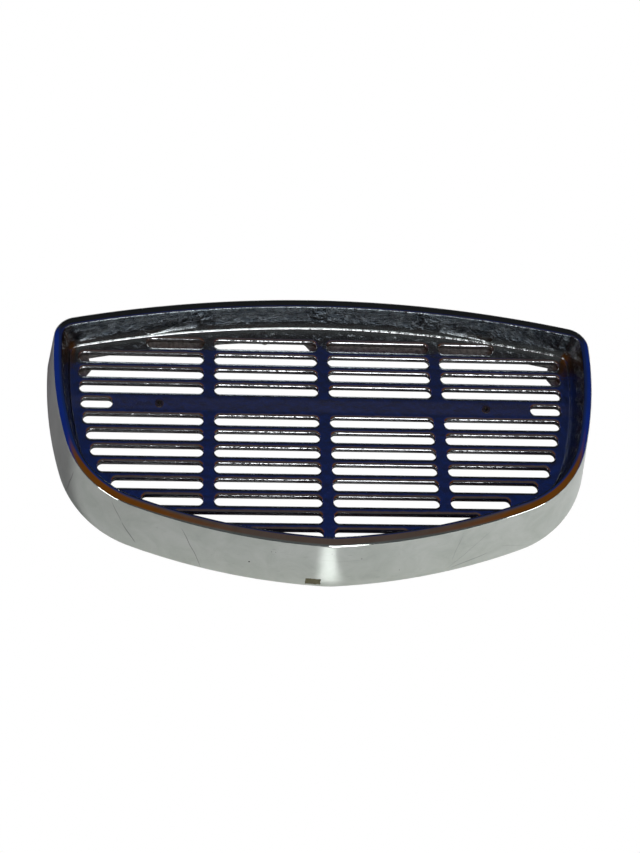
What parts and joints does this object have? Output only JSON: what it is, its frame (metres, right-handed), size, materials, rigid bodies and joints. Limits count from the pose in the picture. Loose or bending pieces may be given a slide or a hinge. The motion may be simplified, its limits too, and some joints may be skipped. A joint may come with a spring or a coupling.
{
  "type": "front grille",
  "caption": "Wide shield-shaped chrome nose grille for a small car: deep flared surround, recessed slotted insert, plain badge band, clip nuts for body screws.",
  "frame": {"origin": "centre of the skirt's back edge box, on the plane that the back edge rests on", "axes": "+X across the face to the viewer's right, +Y up the face towards the arched edge, +Z out of the face"},
  "size_m": [0.352, 0.19, 0.0398],
  "materials": {
    "chrome_plate": "bright chrome plate on a zinc die casting, aged, with scratches and pits",
    "chrome_plate_insert": "bright chrome plate on a zinc die casting, duller in the slots",
    "zinc_plated_steel": "dull zinc plate",
    "spring_steel": "dark phosphated spring steel",
    "dull_brass": "tarnished brass"
  },
  "bodies": {
    "root": {"surround": "chrome_plate", "grille_insert": "chrome_plate_insert", "insert_screws": "zinc_plated_steel", "insert_spring_washers": "zinc_plated_steel", "clip_nut_upper_left": "spring_steel", "clip_nut_upper_right": "spring_steel", "clip_nut_lower_left": "spring_steel", "clip_nut_lower_right": "spring_steel", "badge_sleeve_left": "dull_brass", "badge_sleeve_right": "dull_brass"}
  },
  "joints": []
}
